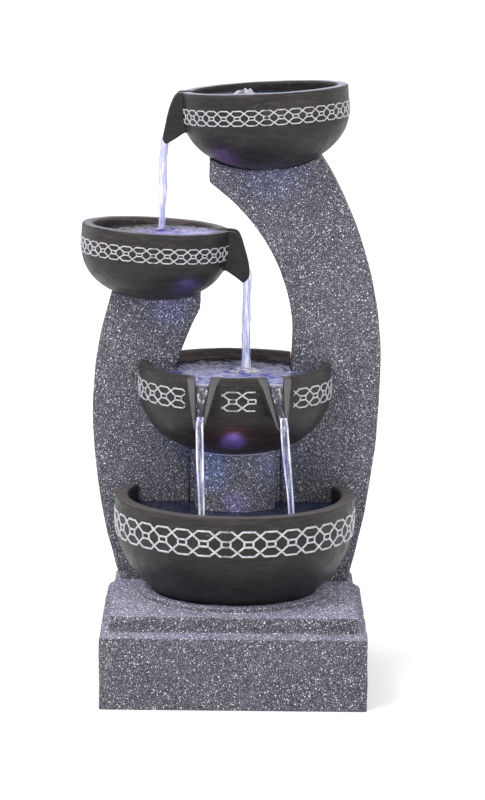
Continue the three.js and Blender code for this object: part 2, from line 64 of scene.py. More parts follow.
CHUTES = (
    dict(a=-90, at=-41, reach=0.95, half=22.8, lip=4.8, bed_half=10.5, bed_lip=2.5, lean=-6, edge=CHUTE_EDGE),
    dict(a=-90, at=50, reach=0.95, half=23.3, lip=4.8, bed_half=11, bed_lip=2.5, lean=12, edge=CHUTE_EDGE),
)
CHUTE_TOP, CHUTE_DROP = 6, 76  # a chute narrows from this height over the rim, and over this drop
WAVE = 0.03  # metres across one wave of the cast surface
RIPPLE = WAVE * 0.12
SEGMENTS = 128  # round the space left for a bowl


# ---------------------------------------------------------------- mesh helpers
def linked(name, data):
    """A new object with that data, in the scene."""
    o = bpy.data.objects.new(name, data)
    bpy.context.scene.collection.objects.link(o)
    return o


def facing_out(me, merge=0.0):
    """Turns a mesh's faces outwards, after joining the vertices closer than merge."""
    bm = bmesh.new()
    bm.from_mesh(me)
    if merge:
        bmesh.ops.remove_doubles(bm, verts=bm.verts, dist=merge)
    bmesh.ops.recalc_face_normals(bm, faces=bm.faces)
    bm.to_mesh(me)
    bm.free()


def new_object(name, verts, faces, scale=MM):
    me = bpy.data.meshes.new(name)
    me.from_pydata([tuple(c * scale for c in v) for v in verts], [], faces)
    me.validate()
    o = linked(name, me)
    facing_out(me, 1e-6)
    return o


def baked(o):
    """Turns the object's modifiers into its mesh."""
    deps = bpy.context.evaluated_depsgraph_get()
    me = bpy.data.meshes.new_from_object(o.evaluated_get(deps))
    o.modifiers.clear()
    old = o.data
    o.data = me
    bpy.data.meshes.remove(old)
    return o


def boolean(o, other, how):
    m = o.modifiers.new("bool", "BOOLEAN")
    m.operation = how
    m.solver = "MANIFOLD"
    m.object = other
    baked(o)
    bpy.data.objects.remove(other)
    return o


def cut(o, *others):
    for other in others:
        boolean(o, other, "DIFFERENCE")
    return o


def join(o, *others):
    for other in others:
        boolean(o, other, "UNION")
    return o


def prism_faces(n):
    """Faces between two outlines of n vertices each, and both ends."""
    faces = [tuple(range(n)), tuple(range(2 * n - 1, n - 1, -1))]
    return faces + [(i, (i + 1) % n, n + (i + 1) % n, n + i) for i in range(n)]


def tube_faces(rings, n, base=0):
    """Faces along rings of n vertices each, counted from base, and both ends."""
    faces = []
    for i in range(rings - 1):
        a, b = base + i * n, base + (i + 1) * n
        for j in range(n):
            k = (j + 1) % n
            faces.append((a + j, a + k, b + k, b + j))
    last = base + (rings - 1) * n
    return faces + [tuple(range(base, base + n)), tuple(reversed(range(last, last + n)))]


def prism(name, outline, lo, hi, axis="z"):
    """Closed outline pushed from lo to hi along z (outline in x, y) or along y (outline in x, z)."""
    n = len(outline)
    if axis == "z":
        verts = [(x, y, lo) for x, y in outline] + [(x, y, hi) for x, y in outline]
    else:
        verts = [(x, lo, z) for x, z in outline] + [(x, hi, z) for x, z in outline]
    return new_object(name, verts, prism_faces(n))


def block(x0, x1, y0, y1, z0, z1):
    return prism("block", [(x0, y0), (x1, y0), (x1, y1), (x0, y1)], z0, z1)


def turned(name, profile, n=128):
    """(r, z) profile from the axis round to the axis, turned about z."""
    verts, rings = [], []
    for r, z in profile:
        if r < 1e-6:
            rings.append([len(verts)])
            verts.append((0, 0, z))
        else:
            rings.append(list(range(len(verts), len(verts) + n)))
            verts += [(r * math.cos(2 * math.pi * i / n), r * math.sin(2 * math.pi * i / n), z)
                      for i in range(n)]
    faces = []
    for a, b in zip(rings, rings[1:]):
        for i in range(n):
            j = (i + 1) % n
            if len(a) == 1 and len(b) > 1:
                faces.append((a[0], b[i], b[j]))
            elif len(b) == 1 and len(a) > 1:
                faces.append((a[i], b[0], a[j]))
            elif len(a) > 1:
                faces.append((a[i], b[i], b[j], a[j]))
    return new_object(name, verts, faces)


def rod(r, z0, z1, n=32):
    return turned("rod", [(0, z0), (r, z0), (r, z1), (0, z1)], n)


def moved(o, matrix):
    o.data.transform(matrix)
    return o


def shift(x, y, z):
    return Matrix.Translation((x * MM, y * MM, z * MM))


def placed(o, b):
    return moved(o, shift(b["x"], b["y"], b["z"]) @ Matrix.Rotation(math.radians(b["tilt"]), 4, "Y"))


def remeshed(o, voxel, smooth):
    """Softens the edges: voxels of that size in mm, then that many rounds of smoothing."""
    m = o.modifiers.new("remesh", "REMESH")
    m.mode = "VOXEL"
    m.voxel_size = voxel * MM * 1
    m.use_smooth_shade = True
    s = o.modifiers.new("smooth", "SMOOTH")
    s.factor = 0.5
    s.iterations = smooth
    return baked(o)


def coords(me):
    co = np.empty(len(me.vertices) * 3, np.float32)
    me.vertices.foreach_get("co", co)
    return co.reshape(-1, 3)


def smooth_shaded(o):
    o.data.polygons.foreach_set("use_smooth", [True] * len(o.data.polygons))
    return o


def roughened(o, coarse, fine, keep=None):
    """Cast waviness: vertices pushed along their normals by noise of coarse and fine mm, but for those
    that keep is true for."""
    me = o.data
    co = coords(me)
    nor = np.empty(len(co) * 3, np.float32)
    me.vertex_normals.foreach_get("vector", nor)
    nor = nor.reshape(-1, 3)
    for i in range(len(co)):
        p = Vector(co[i])
        if keep and keep(p):
            continue
        push = coarse * (noise.noise(p / WAVE) - 0.55) + fine * (noise.noise(p / RIPPLE) - 0.3)
        co[i] += nor[i] * push * MM
    me.vertices.foreach_set("co", co.ravel())
    me.update()
    return o


def smooth_line(points, steps):
    """Catmull-Rom curve through 2-D or 3-D points."""
    pts = [np.array(p, float) for p in points]
    pts = [2 * pts[0] - pts[1]] + pts + [2 * pts[-1] - pts[-2]]
    out = []
    for i in range(1, len(pts) - 2):
        a, b, c, d = pts[i - 1 : i + 3]
        for k in range(steps):
            t = k / steps
            out.append(0.5 * (2 * b + (c - a) * t + (2 * a - 5 * b + 4 * c - d) * t**2
                              + (3 * b - a - 3 * c + d) * t**3))
    out.append(pts[-2])
    return [tuple(p) for p in out]


# ---------------------------------------------------------------- bowls
def outer_r(b, depth, shrink=0.0):
    """Radius of a bowl at that depth under its rim, with the surface moved in by shrink."""
    t = (depth - b["wall"]) / (b["b"] - shrink)
    if t <= 0:
        return b["r"] - shrink
    return (b["r"] - shrink) * max(0.0, 1 - t ** b["n"]) ** (1 / b["n"])


def curve_points(b, depth, shrink, steps):
    """Points from the foot up to where the straight wall starts."""
    t_max = min(1.0, (depth - b["wall"]) / (b["b"] - shrink))
    out = []
    for i in range(steps + 1):
        d = b["wall"] + t_max * math.cos(math.pi / 2 * i / steps) * (b["b"] - shrink)
        out.append((max(outer_r(b, d, shrink), 0.5), -d))
    return out


def bowl_solid(b, n, grow=0.0):
    c = curve_points(b, b["h"] + grow, -grow, 26)
    if grow:
        return turned("outer", [(0, c[0][1])] + c + [(b["r"] + grow, 60), (0, 60)], n)
    top = [(b["r"], -3), (b["r"] - 0.5, -1.2), (b["r"] - 2, -0.2), (b["r"] - 4, 0)]
    return turned("outer", [(0, c[0][1])] + c + top + [(0, 0)], n)


def seat(b):
    """The space that a casting leaves for the bowl standing on it."""
    return placed(bowl_solid(b, SEGMENTS, GAP), b)


def bowl_hollow(b, n, ledge):
    c = curve_points(b, b["h"] - b["floor"], b["t"], 22)
    ri = b["r"] - b["t"]
    if ledge:
        up = [(ri, -ledge - 2), (ri + 1.6, -ledge), (ri + 1.8, -2.5), (ri + 3, 0), (ri + 3, 5)]
    else:
        up = [(ri, -2.5), (ri + 0.8, -0.8), (ri + 2.4, 0), (ri + 2.4, 5)]
    return turned("hollow", [(0, c[0][1])] + c + up + [(0, 5)], n)


def spout_start(b, s):
    """How far from the bowl's axis a spout leaves the rim."""
    return math.sqrt(b["r"] ** 2 - s["at"] ** 2)


def spout_widths(s, w):
    """Middle, half width and half width of the bed of a spout at the height w over the rim."""
    f = (CHUTE_TOP - w) / CHUTE_DROP
    return (s["at"] + s["lean"] * f, s["half"] + (s["lip"] - s["half"]) * f,
            s["bed_half"] + (s["bed_lip"] - s["bed_half"]) * f)


def spout_solids(b, s):
    """A spout's body and the channel to be cut into it."""
    k = s["reach"]
    side = [(-13, 0)] + smooth_line(s["edge"], 4) + [(10, -61.5), (-2, -54), (-20, -52), (-15, -30)]
    bed = smooth_line([(-4, -13.5), (1.5, -17), (6, -24), (9.5, -33), (12.5, -43), (15.2, -54), (19, -70)], 4)
    bed = [(-44, 8), (-44, -13)] + [(u * k if u > 0 else u, w) for u, w in bed] + [(60, -70), (60, 8)]
    start = spout_start(b, s)

    def along(pts, half):
        return prism("side", [(u + start, w) for u, w in pts], -half, half, "y")

    def across(top, low):
        c, lean = s["at"], s["lean"]
        pts = [(c + lean - low, -72), (c + lean + low, -72), (c + top, 8), (c - top, 8)]
        verts = [(-100, v, w) for v, w in pts] + [(300, v, w) for v, w in pts]
        return new_object("across", verts, prism_faces(len(pts)))

    turn = Matrix.Rotation(math.radians(s["a"]), 4, "Z")
    body = boolean(along(side, 110), across(s["half"], s["lip"]), "INTERSECT")
    channel = boolean(along(bed, 110), across(s["bed_half"], s["bed_lip"]), "INTERSECT")
    return moved(body, turn), moved(channel, turn)


def make_bowl(name, b, spouts, holes, ledge=0.0, voxel=1.5):
    n = 160
    o = cut(bowl_solid(b, n), bowl_hollow(b, n, ledge))
    o.name = name
    for s in spouts:
        body, channel = spout_solids(b, s)
        cut(body, bowl_hollow(b, n, ledge))
        join(o, body)
        cut(o, channel)
    placed(o, b)
    cut(o, *holes)
    remeshed(o, voxel, 5)
    return o


# ---------------------------------------------------------------- pillars
# Each edge is made of arcs, moved in by d.
def arc_x(z, cx, cz, r, side=1):
    return cx + side * math.sqrt(max(0.0, r * r - (z - cz) ** 2))


def right_outer(z, d):
    return arc_x(z, -306.7, 408, 499 - d) if z >= 408 else arc_x(z, -921.7, 408, 1114 - d)


def right_inner(z, d):
    if z >= 436:
        return max(arc_x(z, -181, 436, 256 + d), -38 + d)
    return max(arc_x(z, -425, 436, 500 + d), 60 + d)


def left_outer(z, d):
    return arc_x(z, 318.5, 345, 509 - d, -1) if z >= 345 else arc_x(z, 531.5, 345, 722 - d, -1)


def left_inner(z, d):
    if z > 372:
        return min(arc_x(z, 401.5, 250, 505 + d, -1), -48 - d)
    return min(-60 - d, -89.5 - d + (372 - z) * 0.6)


# outer edge, inner edge, top and top of the cavity
PILLARS = {"right": (right_outer, right_inner, 681, 652), "left": (left_outer, left_inner, 503, 478)}


def pillar_outline(which, d, z0, z1, steps=90):
    outer, inner = PILLARS[which][:2]
    zs = [z0 + (z1 - z0) * i / steps for i in range(steps + 1)]
    return [(outer(z, d), z) for z in zs] + [(inner(z, d), z) for z in reversed(zs)]


def pillar_clear(which):
    """The space that a bowl leaves for a pillar."""
    outline = pillar_outline(which, -GAP, FOOT - 12, PILLARS[which][2])
    return prism("clear", outline, FRONT - GAP, BACK + GAP, "y")


def side_hole(r, x0, x1, y, z):
    o = rod(r, 0, x1 - x0)
    return moved(o, shift(x0, y, z) @ Matrix.Rotation(math.pi / 2, 4, "Y"))


def back_hole(r, x, z, length=30):
    o = rod(r, 0, length)
    return moved(o, shift(x, BACK - 20, z) @ Matrix.Rotation(-math.pi / 2, 4, "X"))


def upright_hole(r, x, y, z0, z1):
    return moved(rod(r, z0, z1), shift(x, y, 0))


def nozzle_hole():
    return upright_hole(8.5, 10, 96, 640, 720)


def left_hole():
    return upright_hole(4.5, -111, 88, 460, 520)


def middle_hole(z0=280, z1=310):
    return upright_hole(4, MIDDLE["x"], MIDDLE["y"], z0, z1)


def hose_port():
    return side_hole(9.5, 40, 80, 120, 252)


def cable_port():
    return side_hole(4.5, -80, -40, 130, 262)


def make_pillar(name, which, bowl, holes):
    top, cavity = PILLARS[which][2:]
    o = prism(name, pillar_outline(which, 0, STEP["top"] - 4, top), FRONT, BACK, "y")
    cut(o, prism("hollow", pillar_outline(which, 10, FOOT - 12, cavity), FRONT + 10, BACK - 10, "y"))
    cut(o, seat(bowl), *holes)
    remeshed(o, 2.0, 3)
    return o


# ---------------------------------------------------------------- plinth and pedestal
def slab(w, y0, y1, rear, front=2.0):
    """Outline with rounded rear corners and small chamfers in front."""
    pts = [(-w / 2 + front, y0), (w / 2 - front, y0), (w / 2, y0 + front)]
    n = 20
    pts += [(w / 2 - rear + rear * math.cos(math.pi / 2 * i / n),
             y1 - rear + rear * math.sin(math.pi / 2 * i / n)) for i in range(n + 1)]
    pts += [(-w / 2 + rear + rear * math.cos(math.pi / 2 * (1 + i / n)),
             y1 - rear + rear * math.sin(math.pi / 2 * (1 + i / n))) for i in range(n + 1)]
    return pts + [(-w / 2, y0 + front)]


def pedestal_plan(grow, back=BACK):
    """Outline with a half-elliptical drum in front and shoulders that reach the pillars."""
    w, d, n = PED["half"] - GAP + grow, PED["drum"] + grow, 48
    deep, y = PED["side"] - PED["nose"] + grow, PED["shoulder"] - grow
    pts = [(d * math.cos(math.pi * (1 + i / n)), PED["side"] + deep * math.sin(math.pi * (1 + i / n)))
           for i in range(n + 1)]
    return pts + [(d, y), (w, y), (w, back + grow), (-w, back + grow), (-w, y), (-d, y)]


def make_plinth():
    d = PLINTH["d"] / 2
    w = PLINTH["wall"]
    o = prism("plinth_cast", slab(PLINTH["w"], -d, d, PLINTH["rear"]), 0, PLINTH["h"])
    join(o, prism("step", slab(STEP["w"], STEP["front"], STEP["back"], STEP["rear"]),
                  PLINTH["h"] - 1, STEP["top"]))
    outer, high = SEAT["outer"], STEP["top"] + SEAT["h"]
    ring = turned("ring", [(0, STEP["top"] - 2), (outer, STEP["top"] - 2), (outer - 0.2, high - 1),
                           (outer - 1.5, high), (outer - 10, high + 0.6), (0, high + 0.6)])
    join(o, moved(ring, shift(BASIN["x"], BASIN["y"], 0)))
    cut(o, prism("c1", slab(PLINTH["w"] - 2 * w, -d + w, d - w, PLINTH["rear"] - w), -1, PLINTH["h"] - w),
        prism("c2", slab(STEP["w"] - 2 * w, STEP["front"] + w, STEP["back"] - w, STEP["rear"] - w),
              PLINTH["h"] - w - 1, STEP["top"] - w),
        seat(BASIN),
        block(-200, 200, FRONT - 0.2, 200, STEP["top"], STEP["top"] + 20),
        prism("c3", pedestal_plan(GAP), STEP["top"], STEP["top"] + 20))
    remeshed(o, 1.7, 2)
    return o


def make_pedestal():
    # grown at the sides to meet the pillars, but not at the back, where the door sits
    o = prism("pedestal_cast", pedestal_plan(0.9, BACK - 0.9), STEP["top"] - 4, PED["top"])
    cut(o, prism("c1", pedestal_plan(-8, BACK), FOOT - 1, 281), seat(MIDDLE))
    cut(o, *[block(x - 2.5, x + 2.5, -4, 30, 128, 165) for x in (-24, -12, 0, 12, 24)])
    cut(o, block(-43, 19, BACK - 20, BACK + 10, 229, 279), back_hole(6, 0, 133), back_hole(6.5, 36, 254),
        hose_port(), cable_port(), middle_hole(270, 300))
    remeshed(o, 2.0, 4)
    return o


# ---------------------------------------------------------------- raised lattice bands
def lattice(name, b, depth, height, cells, phase, width, skip, raise_by=0.9):
    """Braided lines round a bowl: four strands that swap places from cell to cell, and small closing bars.
    skip(x, y) is true where the band is interrupted (x, y from the bowl's axis, mm)."""
    step = 2 * math.pi / cells
    runs = []
    for sign in (1, -1):
        for odd in (0, 1):
            pts = []
            for c in range(cells + 1):
                out = (c + odd) % 2 == 0
                half, level = (0.27, 0.5) if out else (0.2, 0.11)
                pts += [(c - half, level * sign), (c + half, level * sign)]
            runs.append(pts)
    for c in range(cells):
        for e in (-0.2, 0.2):
            runs.append([(c + e, -0.11), (c + e, 0.11)])
    verts, faces = [], []

    def surface(s, t):
        d = depth - t * height
        a = phase + s * step - math.pi / 2
        r = outer_r(b, d)
        slope = (outer_r(b, d + 0.5) - outer_r(b, d - 0.5))
        n = Vector((math.cos(a), math.sin(a), slope)).normalized()
        return Vector((r * math.cos(a), r * math.sin(a), -d)), n

    def ribbon(path):
        if len(path) < 2:
            return
        pos = [surface(*p) for p in path]
        base = len(verts)
        section = ((-1, -0.8), (-0.85, 0.35), (-0.45, 1), (0.45, 1), (0.85, 0.35), (1, -0.8))
        for i, (p, n) in enumerate(pos):
            a = pos[max(i - 1, 0)][0]
            c = pos[min(i + 1, len(pos) - 1)][0]
            along = (c - a).normalized()
            side = n.cross(along).normalized()
            for u, h in section:
                verts.append(p + side * (u * width / 2) + n * (h * raise_by))
        faces.extend(tube_faces(len(pos), len(section), base))

    pitch = step * b["r"]
    for pts in runs:
        fine = []
        for (s0, t0), (s1, t1) in zip(pts, pts[1:]):
            length = math.hypot((s1 - s0) * pitch, (t1 - t0) * height)
            n = max(1, round(length / 2.4))
            fine += [(s0 + (s1 - s0) * i / n, t0 + (t1 - t0) * i / n) for i in range(n)]
        fine.append(pts[-1])
        run = []
        for s, t in fine:
            p = surface(s, t)[0]
            if skip(p.x, p.y):
                ribbon(run)
                run = []
            else:
                run.append((s, t))
        ribbon(run)
    me = bpy.data.meshes.new(name)
    me.from_pydata([tuple(v * MM) for v in verts], [], faces)
    facing_out(me)
    return placed(smooth_shaded(linked(name, me)), b)


# ---------------------------------------------------------------- materials
def material(name, base, rough, metal=0.0, **sockets):
    m = bpy.data.materials.new(name)
    m.use_nodes = True
    nt = m.node_tree
    p = nt.nodes["Principled BSDF"]
    p.inputs["Base Color"].default_value = (*base, 1)
    p.inputs["Roughness"].default_value = rough
    p.inputs["Metallic"].default_value = metal
    for k, v in sockets.items():
        p.inputs[k.replace("_", " ")].default_value = v
    return m, nt, p


def node(nt, kind, **values):
    n = nt.nodes.new(kind)
    for k, v in values.items():
        if hasattr(n, k):
            setattr(n, k, v)
        else:
            n.inputs[k.replace("_", " ")].default_value = v
    return n


def position(nt):
    return node(nt, "ShaderNodeNewGeometry").outputs["Position"]


def world_z(nt):
    sep = node(nt, "ShaderNodeSeparateXYZ")
    nt.links.new(position(nt), sep.inputs[0])
    return sep.outputs["Z"]


# Turned so that no face of the object lies along the textures' own grid, which would show as bands.
TURN = (0.61, 0.43, 0.87)


def noise_at(nt, scale, detail=4.0, rough=0.55, stretch=None):
    mp = node(nt, "ShaderNodeMapping")
    if stretch:
        mp.inputs["Scale"].default_value = stretch
    else:
        mp.inputs["Rotation"].default_value = TURN
    nt.links.new(position(nt), mp.inputs["Vector"])
    n = node(nt, "ShaderNodeTexNoise")
    n.inputs["Scale"].default_value = scale
    n.inputs["Detail"].default_value = detail
    n.inputs["Roughness"].default_value = rough
    nt.links.new(mp.outputs["Vector"], n.inputs["Vector"])
    return n.outputs["Fac"]


def ramp(nt, fac, stops):
    r = node(nt, "ShaderNodeValToRGB")
    els = r.color_ramp.elements
    while len(els) < len(stops):
        els.new(0.5)
    for e, (pos, col) in zip(els, stops):
        e.position = pos
        e.color = (*col, 1) if len(col) == 3 else col
    nt.links.new(fac, r.inputs["Fac"])
    return r.outputs["Color"]


def mixed(nt, fac, a, b, blend="MIX"):
    m = node(nt, "ShaderNodeMix")
    m.data_type = "RGBA"
    m.blend_type = blend
    for sock, v in ((m.inputs[0], fac), (m.inputs[6], a), (m.inputs[7], b)):
        if isinstance(v, bpy.types.NodeSocket):
            nt.links.new(v, sock)
        elif isinstance(v, (int, float)):
            sock.default_value = v
        else:
            sock.default_value = (*v, 1)
    return m.outputs[2]


def maths(nt, op, a, b=0.5):
    m = node(nt, "ShaderNodeMath")
    m.operation = op
    for sock, v in ((m.inputs[0], a), (m.inputs[1], b)):
        if isinstance(v, bpy.types.NodeSocket):
            nt.links.new(v, sock)
        else:
            sock.default_value = v
    return m.outputs[0]


def bumped(nt, p, height, strength, distance):
    b = node(nt, "ShaderNodeBump")
    b.inputs["Strength"].default_value = strength
    b.inputs["Distance"].default_value = distance
    nt.links.new(height, b.inputs["Height"])
    nt.links.new(b.outputs["Normal"], p.inputs["Normal"])
    return b


def specks(nt, scale, size, seed, share=1.0):
    """1 inside randomly sized grains, 0 between them; share is the part of the cells that have one."""
    v = node(nt, "ShaderNodeTexVoronoi")
    v.inputs["Scale"].default_value = scale
    v.inputs["Randomness"].default_value = 1
    mp = node(nt, "ShaderNodeMapping")
    mp.inputs["Location"].default_value = (seed, seed * 1.7, -seed)
    mp.inputs["Rotation"].default_value = TURN
    nt.links.new(position(nt), mp.inputs["Vector"])
    nt.links.new(mp.outputs["Vector"], v.inputs["Vector"])
    sep = node(nt, "ShaderNodeSeparateColor")
    nt.links.new(v.outputs["Color"], sep.inputs["Color"])
    grain = maths(nt, "SUBTRACT", sep.outputs["Red"], 1 - share)
    limit = maths(nt, "MULTIPLY", grain, size / share)
    return maths(nt, "LESS_THAN", v.outputs["Distance"], limit)


def upward(nt, lo, hi):
    """0 on walls and undersides, 1 on faces that look up."""
    sep = node(nt, "ShaderNodeSeparateXYZ")
    nt.links.new(node(nt, "ShaderNodeNewGeometry").outputs["Normal"], sep.inputs[0])
    return ramp(nt, sep.outputs["Z"], [(lo, (0, 0, 0)), (hi, (1, 1, 1))])


def granite():
    m, nt, p = material("granite_resin", (0.12, 0.118, 0.13), 0.85, Specular_IOR_Level=0.25)
    tone = ramp(nt, noise_at(nt, 520, 5, 0.75), [
        (0.33, (0.030, 0.029, 0.036)), (0.5, (0.084, 0.082, 0.101)), (0.68, (0.170, 0.167, 0.206))])
    wide = ramp(nt, noise_at(nt, 14, 3, 0.5), [(0.35, (0.86, 0.86, 0.86)), (0.65, (1.1, 1.1, 1.1))])
    col = mixed(nt, 1.0, tone, wide, "MULTIPLY")
    col = mixed(nt, specks(nt, 820, 0.56, 0.31, 0.6), col, (0.014, 0.014, 0.016))
    col = mixed(nt, specks(nt, 980, 0.50, 0.77, 0.62), col, (0.62, 0.62, 0.69))
    col = mixed(nt, specks(nt, 520, 0.45, 1.9, 0.22), col, (0.95, 0.95, 0.98))
    tint = ramp(nt, world_z(nt), [(0.092, (0.88,) * 3), (0.097, (1.06,) * 3),
                                  (0.125, (1.06,) * 3), (0.15, (1.0,) * 3)])
    col = mixed(nt, 1.0, col, tint, "MULTIPLY")
    # painted light: faces that look up are lightened to a pale lavender, for the light falling on them from
    # above
    painted_top_light = mixed(nt, 1.0, col, (2.2, 2.16, 2.4), "MULTIPLY")
    col = mixed(nt, upward(nt, 0.75, 0.97), col, painted_top_light)
    nt.links.new(col, p.inputs["Base Color"])
    rough = ramp(nt, noise_at(nt, 300, 3), [(0.3, (0.7,) * 3), (0.7, (0.95,) * 3)])
    nt.links.new(rough, p.inputs["Roughness"])
    bumped(nt, p, noise_at(nt, 520, 4, 0.65), 0.6, 0.0010)
    return m


def bowl_resin(name="bowl_resin", lift=1.0):
    m, nt, p = material(name, (0.02, 0.018, 0.016), 0.42, Specular_IOR_Level=0.3)
    cloud = noise_at(nt, 22, 5, 0.6)
    col = ramp(nt, cloud, [
        (0.3, (0.008, 0.0066, 0.0066)), (0.55, (0.0155, 0.0128, 0.013)), (0.8, (0.029, 0.0245, 0.0245))])
    streak = ramp(nt, noise_at(nt, 34, 6, 0.72, (1, 1, 9)), [(0.46, (0, 0, 0)), (0.8, (0.45, 0.45, 0.45))])
    col = mixed(nt, streak, col, (0.075, 0.068, 0.062))
    pit = ramp(nt, noise_at(nt, 240, 3, 0.5), [(0.70, (0, 0, 0)), (0.76, (0.5, 0.5, 0.5))])
    col = mixed(nt, pit, col, (0.16, 0.15, 0.15))
    # painted light and shade: faces that look down are darkened, upright and upward faces lightened, for the
    # light from above
    wall = ramp(nt, upward(nt, -0.45, -0.04), [(0.0, (0.84, 0.84, 0.9)), (1.0, (1.5, 1.46, 1.5))])
    col = mixed(nt, 1.0, col, wall, "MULTIPLY")
    if lift != 1:
        col = mixed(nt, 1.0, col, (lift, lift * 0.95, lift * 0.93), "MULTIPLY")
    # painted highlight: the tops of the rims get a lavender sheen, lighter the higher the bowl, for light and
    # sky reflection from above
    rim = ramp(nt, world_z(nt), [(0.25, (0.11, 0.10, 0.10)), (0.41, (0.05, 0.045, 0.046)),
                                 (0.6, (0.16, 0.15, 0.19)), (0.77, (0.30, 0.29, 0.38))])
    col = mixed(nt, upward(nt, 0.8, 0.98), col, rim)
    nt.links.new(col, p.inputs["Base Color"])
    rough = ramp(nt, noise_at(nt, 60, 4, 0.6), [(0.3, (0.34,) * 3), (0.75, (0.60,) * 3)])
    nt.links.new(rough, p.inputs["Roughness"])
    bumped(nt, p, noise_at(nt, 90, 6, 0.65, (1, 1, 3)), 0.4, 0.0010)
    return m


def silver():
    m, nt, p = material("band_silver", (0.66, 0.64, 0.66), 0.45, 0.1)
    col = ramp(nt, noise_at(nt, 190, 4, 0.6), [(0.3, (0.26, 0.25, 0.27)), (0.5, (0.50, 0.485, 0.52)),
                                               (0.8, (0.66, 0.65, 0.70))])
    nt.links.new(col, p.inputs["Base Color"])
    bumped(nt, p, noise_at(nt, 400, 3), 0.3, 0.0004)
    return m


def moulded(name, base, rough, grain=900.0, bump=0.12, metal=0.0):
    m, nt, p = material(name, base, rough, metal)
    lo = tuple(c * 0.78 for c in base)
    hi = tuple(min(1.0, c * 1.2 + 0.004) for c in base)
    nt.links.new(ramp(nt, noise_at(nt, 55, 4), [(0.3, lo), (0.75, hi)]), p.inputs["Base Color"])
    gloss = ramp(nt, noise_at(nt, 120, 3), [(0.3, (rough * 0.85,) * 3), (0.7, (min(1, rough * 1.15),) * 3)])
    nt.links.new(gloss, p.inputs["Roughness"])
    bumped(nt, p, noise_at(nt, grain, 3), bump, 0.0004)
    return m


def water(name, deep, light, glow, strength, centre=None, reach=0.08, far=None, shine=0.3):
    """Rippled water with painted lamp light: the violet and blue tints, the pale ripple patches and the
    emission are painted glow and painted reflections. Within reach of the centre the water is tinted by the
    painted glow of the lamp; farther out it falls to the darker far colour, a painted shade. On a lamp's lens
    the emission is the lamp's own light.
    """
    m, nt, p = material(name, deep, 0.05, IOR=1.33, Specular_IOR_Level=shine)
    col = ramp(nt, noise_at(nt, 85, 5, 0.65, (0.6, 1, 1)), [(0.42, deep), (0.6, light)])
    if centre:
        v = node(nt, "ShaderNodeVectorMath", operation="DISTANCE")
        nt.links.new(position(nt), v.inputs[0])
        v.inputs[1].default_value = [c * MM for c in centre]
        share = maths(nt, "DIVIDE", v.outputs["Value"], reach)
        near = ramp(nt, share, [(0.25, (0, 0, 0)), (0.95, (1, 1, 1))])
        # painted shade: away from the lamp the water darkens to the far colour
        dark = ramp(nt, noise_at(nt, 110, 5, 0.7), [(0.45, far), (0.72, tuple(c * 4 for c in far))])
        col = mixed(nt, near, col, dark)
        nt.links.new(mixed(nt, near, glow, (0, 0, 0)), p.inputs["Emission Color"])
    else:
        p.inputs["Emission Color"].default_value = (*glow, 1)
    nt.links.new(col, p.inputs["Base Color"])
    p.inputs["Emission Strength"].default_value = strength
    bumped(nt, p, noise_at(nt, 170, 4), 0.5, 0.0012)
    return m


def falling(name, clear, strand=0.6, rim=0.6, low=(0.36, 0.37, 0.74)):
    """Falling water: bright strands at the edges and along the flow, clearer in the middle. The lavender and
    white of the strands are painted highlights and painted lamp light, and the faint emission is a painted
    glow.
    """
    m, nt, p = material(name, (0.8, 0.82, 1.0), 0.06, IOR=1.33, Specular_IOR_Level=0.9)
    flow = noise_at(nt, 330, 3, 0.6, (1, 1, 0.09))
    col = ramp(nt, flow, [(0.36, low), (0.5, (0.66, 0.67, 0.93)), (0.62, (0.97, 0.98, 1.0))])
    nt.links.new(col, p.inputs["Base Color"])
    # painted glow: a faint lavender emission for the lamps' light in the falling water
    p.inputs["Emission Color"].default_value = (0.6, 0.62, 1.0, 1)
    p.inputs["Emission Strength"].default_value = 0.07
    lw = node(nt, "ShaderNodeLayerWeight")
    lw.inputs["Blend"].default_value = 0.5
    edge = ramp(nt, lw.outputs["Facing"], [(rim - 0.4, (0, 0, 0)), (rim + 0.05, (1, 1, 1))])
    body = ramp(nt, flow, [(strand - 0.16, (clear,) * 3), (strand, (0.9,) * 3)])
    nt.links.new(maths(nt, "MAXIMUM", mixed(nt, edge, body, (0.92, 0.92, 0.92)), 0.0), p.inputs["Alpha"])
    bumped(nt, p, flow, 0.6, 0.002)
    return m


